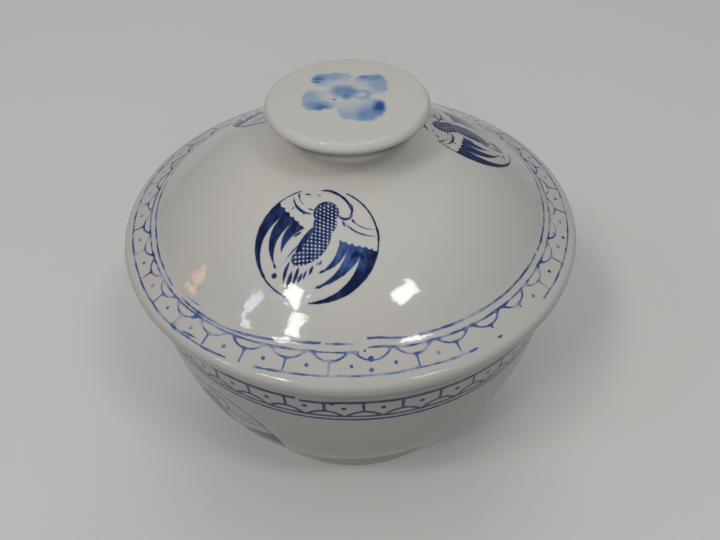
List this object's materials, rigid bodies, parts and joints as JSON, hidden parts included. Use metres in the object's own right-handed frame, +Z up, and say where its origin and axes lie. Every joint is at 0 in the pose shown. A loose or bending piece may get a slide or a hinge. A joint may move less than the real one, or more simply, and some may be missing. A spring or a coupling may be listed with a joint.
{
  "type": "covered bowl",
  "caption": "Deep footed ceramic bowl with a lift-off domed lid, a broad sloping brim and a flat disc knob, for serving and keeping food warm.",
  "frame": {"origin": "centre of the foot ring, in the plane it stands on", "axes": "+Z up along the axis of turning, +X to the right of the pictured front, -Y towards the viewer"},
  "size_m": [0.16, 0.16, 0.1373],
  "materials": {
    "bowl_glaze": "glossy pale grey-white glaze over cobalt blue decoration",
    "lid_glaze": "glossy pale grey-white glaze over cobalt blue decoration",
    "knob_glaze": "glossy pale grey-white glaze over a watery blue flower"
  },
  "bodies": {
    "bowl": {"bowl": "bowl_glaze"},
    "lid": {"lid": "lid_glaze", "lid_knob": "knob_glaze"}
  },
  "joints": [
    {"name": "lid_lift", "type": "slide", "parent": "bowl", "child": "lid", "axis": [0, 0, 1], "range_m": [0, 0.1]}
  ]
}
